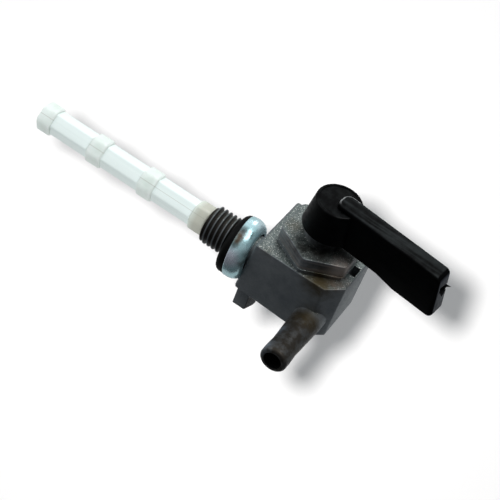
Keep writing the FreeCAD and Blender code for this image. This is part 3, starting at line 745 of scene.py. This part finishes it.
def partingLine(finish, tone, low, high):
    # the thin line where the two halves of the mould met, along the middle of one facet
    x, y, z = finish.split(finish.where)
    around = finish.calc("ARCTAN2", y, x)
    away = finish.calc("ABSOLUTE", finish.calc("SUBTRACT", around, math.radians(strainer["turn"] + 30)))
    line = finish.fade(away, *nylonLook["lineWidth"])
    along = finish.times(finish.zone(z, low, low + 1), finish.zone(z, high + 1, high))
    return finish.mix(finish.times(line, along, 0.5), tone, nylonLook["line"])


def makeNylon():
    look = nylonLook
    nylon = Finish("strainerNylon", 0.38, 0.0, **translucent)
    cloud = nylon.effect(mottling, Scale=220.0, Low=0.35, High=0.65)
    tone = nylon.mix(cloud, look["milk"], look["pale"])
    z = nylon.split(nylon.where)[2]
    tone = nylon.mix(nylon.zone(z, *look["baseZ"]), tone, look["base"])
    nylon.colour(partingLine(nylon, tone, *look["lineZ"]))
    nylon.rough(cloud, low=0.32, high=0.45)
    nylon.bump(nylon.effect(streaks, Stretch=(1.0, 1.0, 0.05), Scale=1500.0), strength=0.12, depth=0.02)
    return nylon.material


gauzeLook = {"thread": (0.86, 0.94, 0.92), "gap": (0.72, 0.82, 0.79), "pitch": 0.18, "lines": 140,
             "cover": (-0.6, 0.8), "lineZ": (8, 32)}


def makeGauze():
    # a fine square weave moulded into the sleeve, with a few faint drawn lines along it
    look = gauzeLook
    gauze = Finish("strainerGauze", 0.34)
    x, y, z = gauze.split(gauze.where)
    around = gauze.calc("ARCTAN2", y, x)
    ringWave = gauze.calc("SINE", gauze.times(z, 2 * math.pi / (look["pitch"] * mm)))
    lineWave = gauze.calc("SINE", gauze.times(around, look["lines"]))
    weave = gauze.calc("MAXIMUM", ringWave, lineWave)
    cover = gauze.fade(weave, *look["cover"])
    tone = gauze.mix(cover, look["gap"], look["thread"])
    drawn = gauze.effect(streaks, Stretch=(1.0, 1.0, 0.02), Scale=900.0, Low=0.5, High=0.7)
    tone = gauze.mix(gauze.times(drawn, 0.5), tone, look["gap"])
    gauze.colour(partingLine(gauze, tone, *look["lineZ"]))
    gauze.rough(cover, low=0.42, high=0.3)
    gauze.bump(weave, strength=0.1, depth=0.02)
    gauze.bump(drawn, strength=0.15, depth=0.03)
    return gauze.material


def sixSided(name, radius, low, high, corner=0):
    deselectAll()
    bpy.ops.mesh.primitive_cylinder_add(vertices=6, radius=radius * mm, depth=(high - low) * mm)
    piece = bpy.context.object
    piece.name = name
    # a cylinder's first corner is on Y
    turn = Matrix.Rotation(math.radians(strainer["turn"] - 90), 4, "Z")
    settle(piece, Matrix.Translation((0, 0, (low + high) / 2 * mm)) @ turn)
    if corner:
        bevel(piece, corner, 3, lambda edge: rise(edge, 2) > 0.1)
    return piece


def makeStrainer():
    size = strainer
    base, pitch = size["base"], size["pitch"]
    innerRadius = size["sleeve"] - size["wall"] / math.cos(math.radians(30))
    top = base + 3 * pitch
    tube = sixSided("strainerFrame", innerRadius, base, top + size["tip"] / 2)
    half = (innerRadius - size["rib"]) / 2
    for row in range(3):
        low = base + size["collar"] + row * pitch
        for side in range(3):
            opening = box("opening", (-6, -half, low), (6, half, low + pitch - size["collar"]))
            settle(opening, Matrix.Rotation(math.radians(size["turn"] + 30 + 60 * side), 4, "Z"))
            carve(tube, opening)
    for row in range(4):
        low = base + row * pitch
        high = low + (size["tip"] if row == 3 else size["collar"])
        collar = sixSided("collar", size["collarRadius"], low, high, size["corner"])
        bevel(collar, size["shoulder"], 4, lambda edge: convex(60)(edge) and rise(edge, 2) < 0.001)
        unite(tube, collar)
    unite(tube, rod("spigot", size["spigot"], size["spigotLow"], base + size["spigotOverlap"],
                    edge=size["spigotRound"]))
    carve(tube, rod("bore", size["bore"], size["spigotLow"] - past, top + size["tip"] - size["tipWall"]))
    merge(tube)
    return tube


def makeSleeve():
    # one gauze sleeve, copied for the other two windows
    size = strainer
    low = size["base"] + size["collar"]
    high = low + size["pitch"] - size["collar"]
    sleeve = sixSided("gauzeLower", size["sleeve"], low, high, size["sleeveCorner"])
    innerRadius = size["sleeve"] - size["wall"] / math.cos(math.radians(30))
    carve(sleeve, sixSided("inner", innerRadius, low - past, high + past))
    return sleeve


strainerFrame = makeStrainer()
finishPiece(strainerFrame, makeNylon(), "body", ["strainer_frame"], 35)

strainerGauze = makeGauze()
gauzeLower = makeSleeve()
finishPiece(gauzeLower, strainerGauze, "body", ["strainer_gauze_lower"])
gauzeCopies = []
for row, label in enumerate(("Middle", "Upper"), 1):
    sleeve = copied(gauzeLower, f"gauze{label}")
    settle(sleeve, Matrix.Translation((0, 0, row * strainer["pitch"] * mm)))
    gauzeCopies.append(sleeve)
    finishPiece(sleeve, strainerGauze, "body", [f"strainer_gauze_{label.lower()}"])
print("strainer")

# the lever, modelled with the hub's axis up and the blade along X, and then hung on the neck

leverLook = {"black": (0.0004, 0.0004, 0.0005), "wornAndLit": (0.017, 0.0195, 0.020), "end": (0.034, 0.037, 0.045),
             "glint": (0.38, 0.39, 0.39)}
leverZones = {"bladeY": (29.5, 30.0), "bendFace": (-0.15, -0.35), "bendTop": (0.22, 0.35),
              "bendZ": (-50.0, -52.0), "endFace": (-0.80, -0.92), "endZ": (-56.5, -57.0),
              "rimFoot": (29.7, 30.0), "rimTop": (30.38, 30.30), "rimZ": (-28.2, -27.2), "rimX": (-3.4, -4.6)}
nickPaintedShade = [((-3.5, 25.1, -58.65), 1.4, "black", 1.0)]
leverGlints = [((0.6, 28.9, -27.4), 0.35, "glint", 0.8), ((-2.9, 30.2, -23.1), 0.6, "glint", 0.45),
               ((-6.3, 30.3, -23.1), 0.7, "glint", 0.6), ((-8.1, 30.4, -24.1), 0.9, "glint", 0.8),
               ((-8.6, 30.3, -25.9), 0.9, "glint", 0.9), ((-8.3, 30.4, -27.4), 0.9, "glint", 0.7)]


def makeLever():
    look, zones = leverLook, leverZones
    plastic = Finish("leverPlastic", 0.4, **{"Specular IOR Level": 0.055})
    x, y, z = plastic.split(plastic.where)
    facing = plastic.split(plastic.normal)
    cloud = plastic.effect(mottling, Scale=420.0, Low=0.42, High=0.66)
    line = plastic.effect(streaks, Stretch=(1.0, 1.0, 0.06), Scale=900.0, Low=0.42, High=0.62)
    # partly painted sheen: only faces turned up towards the light get the paler worn tone, so it stands for
    # their sheen as well as wear; the hub is mottled and the blade streaked
    upFacingSheen = plastic.remap(facing[1], 0.5, 0.9, 0.12, 1)
    onBlade = plastic.zone(y, *zones["bladeY"])
    wornAndLit = plastic.calc("ADD", plastic.times(line, onBlade), plastic.times(cloud, 0.5))
    tone = plastic.mix(plastic.times(wornAndLit, upFacingSheen, 0.75), look["black"], look["wornAndLit"])
    # painted shade: the rounding between the blade's top and its end is kept black
    bend = plastic.times(plastic.fade(facing[2], *zones["bendFace"]),
                         plastic.fade(facing[1], *zones["bendTop"]), plastic.zone(z, *zones["bendZ"]))
    tone = plastic.mix(bend, tone, look["black"])
    # painted light: its end face is painted paler, where light falls on it; painted shade: the torn nick is
    # painted black
    end = plastic.times(plastic.fade(facing[2], *zones["endFace"]), plastic.zone(z, *zones["endZ"]))
    tone = plastic.mix(plastic.times(end, 0.9), tone, look["end"])
    tone = plastic.patches(tone, look, nickPaintedShade, fray=1.2)
    tone = plastic.patches(tone, look, leverGlints, fray=0.9)
    # painted highlight: the raised rim round the blade's root is painted bright on its far side
    rim = plastic.times(plastic.zone(y, *zones["rimFoot"]), plastic.zone(y, *zones["rimTop"]),
                        plastic.zone(z, *zones["rimZ"]), plastic.zone(x, *zones["rimX"]))
    rimGlintMottle = plastic.calc("MULTIPLY_ADD", cloud, 0.5, 0.5)
    plastic.colour(plastic.mix(plastic.times(rim, rimGlintMottle), tone, look["glint"]))
    plastic.rough(plastic.calc("MAXIMUM", plastic.times(line, 0.25), bend), low=0.34, high=0.98)
    plastic.bump(line, strength=0.15, depth=0.02)
    plastic.bump(plastic.effect(mottling, Scale=2200.0), strength=0.15, depth=0.012)
    return plastic.material


lever = {"turn": 6.2, "base": 18.8, "hub": 28.9, "baseRadius": 7.95, "topRadius": 6.7, "baseRound": 0.3,
         "round": 0.6, "dishRadius": 5.6, "dish": 0.2, "dishRound": 0.08, "root": 0.3, "rootRound": 2.2,
         "reach": 35.1, "slant": 2.77, "low": 16.45, "step": 1.1, "stepFrom": 18.5, "stepTo": 24.5,
         "stepRound": 3.0, "top": 30.4, "topRound": 1.8, "thick": 5.86, "corner": 1.6, "edge": 0.65,
         "cutFrom": 15.0, "recess": 6.45, "recessTop": 21.5, "drive": 5.0, "driveTop": 26.7}
# the torn end of the blade: a nick and a chip are cut out of it, and a burr stands on it
nick = {"sides": 5, "radius": 1.5, "length": 6.6, "at": (35.7, 1.6, 25.6)}
chip = {"low": (-1.2, -1.7, -2.0), "high": (1.4, 0.8, 1.3), "at": (36.1, 1.1, 24.8), "tilt": 0.5,
        "twist": 0.6}
burr = {"sides": 4, "radius": 0.8, "length": 2.6, "at": (36.2, 2.6, 24.9), "towards": (0.75, 0.65, -0.1)}


def facingAlong(direction):
    # the turn with which something's own +Z points along the direction
    return direction.to_track_quat("Z", "Y").to_matrix().to_4x4()


def leverPlace():
    hang = Matrix(((0, -1, 0), (0, 0, 1), (-1, 0, 0))).to_4x4()
    turn = Matrix.Rotation(math.radians(-lever["turn"]), 4, "Y")
    return shift(platform["x"], 0, platform["z"]) @ turn @ hang


def makeHub():
    size = lever
    base, top, dish, deep = size["base"], size["hub"], size["dishRadius"], size["dish"]
    # the dish in the hub's top has a soft step and a floor that rises a little to the middle
    profile = rounded([(0, base), (size["baseRadius"], base), (size["topRadius"], top), (dish + 0.3, top),
                       (dish + 0.15, top - 0.25), (dish - 0.1, top - deep), (0, top - deep + 0.15)],
                      {1: size["baseRound"], 2: size["round"], 3: size["dishRound"]})
    return turned("leverHandle", profile, closed=False)


def makeBlade():
    size = lever
    under = size["low"] + size["step"]
    side = rounded([(size["root"], under), (size["stepFrom"], under), (size["stepTo"], size["low"]),
                    (size["reach"] + size["slant"], size["low"]), (size["reach"], size["top"]),
                    (size["root"], size["top"])],
                   {1: size["stepRound"], 2: size["stepRound"], 3: size["corner"], 4: size["topRound"]})
    half = size["thick"] / 2
    blade = outline("blade", side)
    editOn(blade)
    selectMesh()
    bpy.ops.mesh.edge_face_add()
    bpy.ops.mesh.extrude_region_move(TRANSFORM_OT_translate={"value": (0, 2 * half * mm, 0)})
    selectMesh()
    bpy.ops.mesh.normals_make_consistent(inside=False)
    editOff()
    settle(blade, Matrix.Translation((0, -half * mm, 0)))
    bevel(blade, size["rootRound"], 6,
          lambda edge: middle(edge).x < size["root"] + hair and abs(middle(edge).y) > half - hair)
    bevel(blade, size["edge"], 3, convex(40))
    return blade


def cone(size, turn):
    deselectAll()
    bpy.ops.mesh.primitive_cone_add(vertices=size["sides"], radius1=size["radius"] * mm,
                                    depth=size["length"] * mm)
    piece = bpy.context.object
    settle(piece, shift(*size["at"]) @ turn)
    return piece


def makeLeverPiece():
    size = lever
    hub = makeHub()
    unite(hub, makeBlade())
    low, half = size["cutFrom"], size["drive"] / 2
    carve(hub, rod("recess", size["recess"], low, size["recessTop"]))
    carve(hub, box("drive", (-half, -half, low), (half, half, size["driveTop"])))
    chipPiece = box("chip", chip["low"], chip["high"])
    settle(chipPiece, shift(*chip["at"]) @ Matrix.Rotation(chip["tilt"], 4, "X")
           @ Matrix.Rotation(chip["twist"], 4, "Z"))
    carve(hub, chipPiece, cone(nick, Matrix.Rotation(math.radians(-90), 4, "X")))
    unite(hub, cone(burr, facingAlong(Vector(burr["towards"]))))
    merge(hub)
    settle(hub, leverPlace())
    return hub


leverHandle = makeLeverPiece()
finishPiece(leverHandle, makeLever(), "lever", ["lever_handle"], 32)
print("lever")

# the small pieces inside stay as the solids made them, and get materials

smallLooks = {"brass": ((0.42, 0.27, 0.10), (0.62, 0.44, 0.18), 0.3),
              "pin": ((0.30, 0.30, 0.31), (0.46, 0.46, 0.47), 0.32),
              "spring": ((0.36, 0.36, 0.35), (0.52, 0.51, 0.49), 0.28),
              "rotor": ((0.34, 0.30, 0.20), (0.52, 0.46, 0.32), 0.34)}


def makePlain(name, dark, light, roughness):
    # drawn or machined metal, with fine marks round it
    plain = Finish(name, roughness, 1.0)
    cloud = plain.effect(mottling, Scale=500.0, Low=0.35, High=0.7)
    marks = plain.effect(streaks, Stretch=(0.3, 0.3, 1.0), Scale=1800.0)
    plain.colour(plain.mix(cloud, dark, light))
    plain.rough(marks, low=roughness - 0.08, high=roughness + 0.1)
    plain.bump(marks, strength=0.15, depth=0.015)
    return plain.material


smallPieces = {"standpipe": makePlain("pipeBrass", *smallLooks["brass"]),
               "retaining_pin": makePlain("pinSteel", *smallLooks["pin"]),
               "spring_washer": makePlain("springSteel", *smallLooks["spring"]),
               "valve_rotor": makePlain("rotorMetal", *smallLooks["rotor"]),
               "port_sleeve": blackRubber, "rotor_seal_ring": blackRubber}
for node, material in smallPieces.items():
    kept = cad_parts[node]
    kept.data.materials.clear()
    kept.data.materials.append(material)
print("small pieces inside")

# the pale card behind the object

view = {"place": (251.41, 262.2, -80.37), "right": (-0.512, 0.2577, -0.8194), "up": (-0.528, 0.6581, 0.5368),
        "back": (0.6776, 0.7075, -0.2009), "lens": 93.6}
right, up, back = (Vector(view[side]).normalized() for side in ("right", "up", "back"))
target = Vector((0, 5, 0)) * mm
eye = Vector(view["place"]) * mm

card = {"away": 400.0, "size": 1600.0, "colour": (0.88, 0.865, 0.855, 1), "mirrored": (0.50, 0.52, 0.53, 1)}


def makeCard():
    # pale seen straight, a plain grey in reflections, and clear from behind
    look = bpy.data.materials.new("paleCard")
    look.use_nodes = True
    tree = look.node_tree
    diffuse = tree.nodes["Principled BSDF"]
    fill(tree, diffuse, {"Base Color": card["colour"], "Roughness": 1, "Specular IOR Level": 0})
    grey = addNode(tree, "Emission", {"Color": card["mirrored"]})
    clear = addNode(tree, "BsdfTransparent", {})
    path = addNode(tree, "LightPath", {}).outputs
    rear = addNode(tree, "NewGeometry", {}).outputs["Backfacing"]
    mirrored = addNode(tree, "Math", {0: path["Is Glossy Ray"], 1: path["Is Transmission Ray"]},
                       operation="MAXIMUM")
    front = addNode(tree, "MixShader", {0: mirrored.outputs[0], 1: diffuse.outputs[0], 2: grey.outputs[0]})
    oneWay = addNode(tree, "MixShader", {0: rear, 1: front.outputs[0], 2: clear.outputs[0]})
    fill(tree, tree.nodes["Material Output"], {"Surface": oneWay.outputs[0]})
    return look


deselectAll()
bpy.ops.mesh.primitive_plane_add(size=card["size"] * mm)
paper = bpy.context.object
paper.name = "paper"
settle(paper, Matrix.Translation(target - back * card["away"] * mm) @ facingAlong(back))
paper.data.materials.append(makeCard())

# the lamps, each with its direction, size and power

lamps = {"keyLamp": (back * 0.3 - right * 0.55 + up * 0.6, 260, 0.8),
         "topLamp": (Vector((-0.1, 0.9, -0.3)), 320, 1.9),
         "sideLamp": (Vector((0.8, -0.5, -0.3)), 300, 2.1),
         "upperLamp": (Vector((-0.5, 0.86, 0)), 300, 0.6),
         "floorLamp": (Vector((-0.68, 0.71, 0.2)), 260, 0.45),
         "washerFill": (Vector((-0.1, 0.97, -0.25)), 500, 1.3),
         "washerLamp": (Vector((-0.92, 0.39, 0.08)), 150, 0.35),
         "cardLamp": (back, 14, 5.1)}
lampDistance = 600
cardLampPlace = eye - right * 13 * mm + up * 8.5 * mm  # near the camera, so the shadow falls as in the photo


def lamp(name, direction, size, power):
    light = bpy.data.lights.new(name, "AREA")
    light.shape = "DISK"
    light.size = size * mm
    light.energy = power
    holder = bpy.data.objects.new(name, light)
    bpy.context.collection.objects.link(holder)
    place = target + direction.normalized() * lampDistance * mm
    if name == "cardLamp":
        place = cardLampPlace
    holder.matrix_world = Matrix.Translation(place) @ facingAlong(direction)
    return holder


def lightsOnly(name, pieces, state="INCLUDE"):
    # the lamp lights these pieces alone, or leaves them out
    linked = bpy.data.collections.new(name + "Pieces")
    for piece in pieces:
        linked.objects.link(piece)
    holders[name].light_linking.receiver_collection = linked
    for member in linked.collection_objects:
        member.light_linking.link_state = state


holders = {name: lamp(name, *plan) for name, plan in lamps.items()}
lightsOnly("cardLamp", [paper])
for name in ("sideLamp", "upperLamp"):
    lightsOnly(name, [strainerFrame, gauzeLower, *gauzeCopies])
lightsOnly("floorLamp", [tapBody])
for name in ("washerLamp", "washerFill"):
    lightsOnly(name, [cupWasher])
# the main lamps leave the card out, so its shadow stays as deep as in the photo
for name in ("keyLamp", "topLamp"):
    lightsOnly(name, [paper, cupWasher], "EXCLUDE")

room = {"brightSide": (-0.45, 0.72, 0.52), "dark": (0.06, 0.065, 0.07, 1), "darkAt": 0.2,
        "bright": (0.75, 0.78, 0.8, 1), "brightAt": 0.95, "seen": (0.8, 0.8, 0.8, 1)}


def makeRoom():
    # the room that lights the object is brighter on one side, and the camera sees a plain pale grey
    world = bpy.data.worlds.new("softRoom")
    world.use_nodes = True
    tree = world.node_tree
    coords = addNode(tree, "TexCoord", {})
    dot = addNode(tree, "VectorMath", {0: coords.outputs["Generated"], 1: room["brightSide"]},
                  operation="DOT_PRODUCT")
    spread = addNode(tree, "MapRange", {"Value": dot.outputs["Value"], "From Min": -1})
    shade = addNode(tree, "ValToRGB", {"Fac": spread.outputs["Result"]})
    for element, side in zip(shade.color_ramp.elements, ("dark", "bright")):
        element.position = room[side + "At"]
        element.color = room[side]
    walls = tree.nodes["Background"]
    fill(tree, walls, {"Color": shade.outputs["Color"]})
    paleGrey = addNode(tree, "Background", {"Color": room["seen"]})
    path = addNode(tree, "LightPath", {})
    choose = addNode(tree, "MixShader", {0: path.outputs["Is Camera Ray"], 1: walls.outputs[0],
                                         2: paleGrey.outputs[0]})
    fill(tree, tree.nodes["World Output"], {"Surface": choose.outputs[0]})
    return world


bpy.context.scene.world = makeRoom()

camera = bpy.data.cameras.new("camera")
camera.lens = view["lens"]
camera.sensor_width = 36
camera.clip_start = 0.01
cameraHolder = bpy.data.objects.new("camera", camera)
bpy.context.collection.objects.link(cameraHolder)
cameraHolder.matrix_world = Matrix.Translation(eye) @ Matrix((right, up, back)).transposed().to_4x4()
bpy.context.scene.camera = cameraHolder
bpy.context.scene.view_settings.view_transform = "Standard"
print("lamps and camera")
